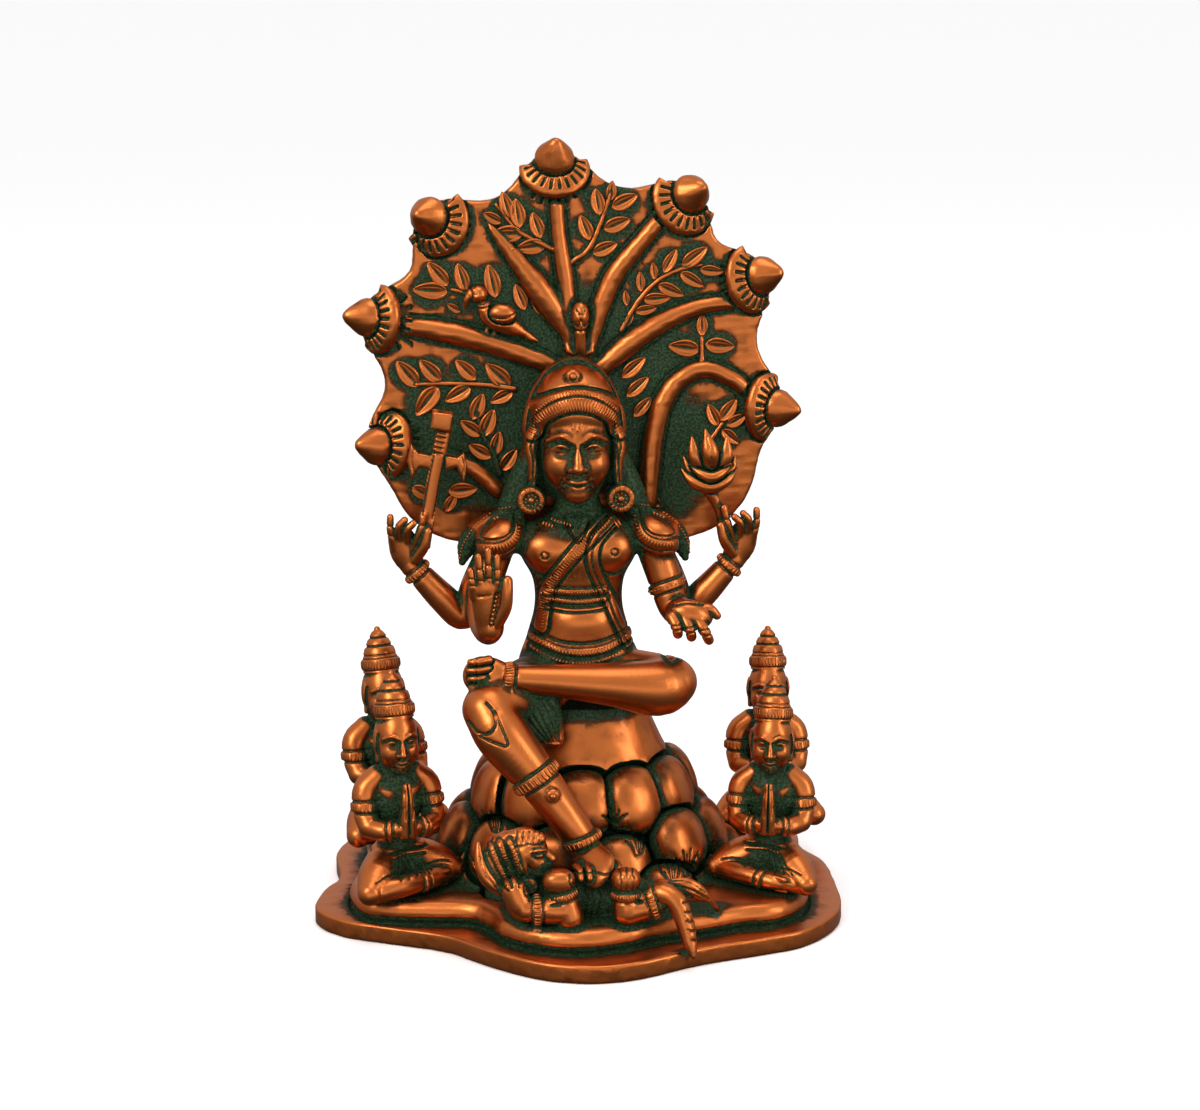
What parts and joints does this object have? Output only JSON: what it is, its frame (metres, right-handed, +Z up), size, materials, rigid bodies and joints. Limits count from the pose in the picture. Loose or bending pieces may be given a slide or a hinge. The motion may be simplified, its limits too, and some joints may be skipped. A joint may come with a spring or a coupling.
{
  "type": "dakshinamurti statue",
  "caption": "Cast table statue of a many-armed seated teacher under a fan-shaped banyan tree, a foot on a dwarf, praying sages around, on a lobed plinth.",
  "frame": {"origin": "middle of the plinth's underside", "axes": "+X to the right seen from the front, -Y towards the front, +Z up"},
  "size_m": [0.2288, 0.1862, 0.3306],
  "materials": {
    "antique_copper": "cast brass with a rubbed copper finish: polished orange-brown on raised forms, dark green patina in every recess"
  },
  "bodies": {
    "root": {"rock_plinth": "antique_copper", "banyan_tree": "antique_copper", "seated_figure": "antique_copper", "sage_front_left": "antique_copper", "sage_front_right": "antique_copper", "sage_back_left": "antique_copper", "sage_back_right": "antique_copper"}
  },
  "joints": []
}
